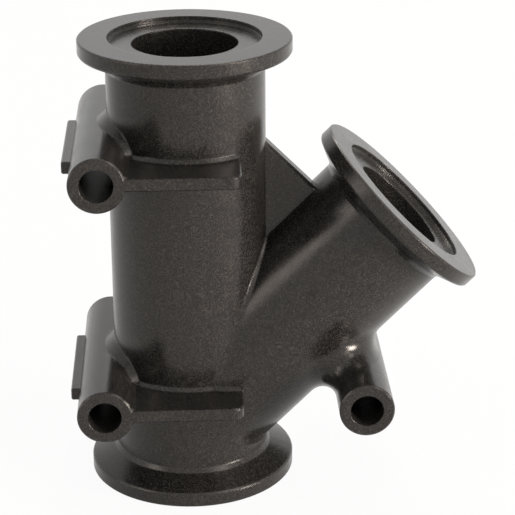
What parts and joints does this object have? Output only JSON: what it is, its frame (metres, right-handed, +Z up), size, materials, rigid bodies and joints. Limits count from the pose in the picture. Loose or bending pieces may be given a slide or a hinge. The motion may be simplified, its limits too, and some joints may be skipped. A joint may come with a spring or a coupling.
{
  "type": "lateral wye fitting",
  "caption": "Moulded pipe wye: straight run and an equal branch at 45 degrees, clamp flanges on all ends, through bosses for mounting bolts, stiffening plates and a crotch gusset.",
  "frame": {"origin": "centre of the bottom flange's face, on the run's axis", "axes": "+Z up the run, the branch rises towards +X, symmetric about the plane y = 0"},
  "size_m": [0.1002, 0.0594, 0.112],
  "materials": {
    "moulded_plastic": "satin moulded glass-filled polypropylene, charcoal black, faintly mottled"
  },
  "bodies": {
    "root": {"wye_fitting": "moulded_plastic"}
  },
  "joints": []
}
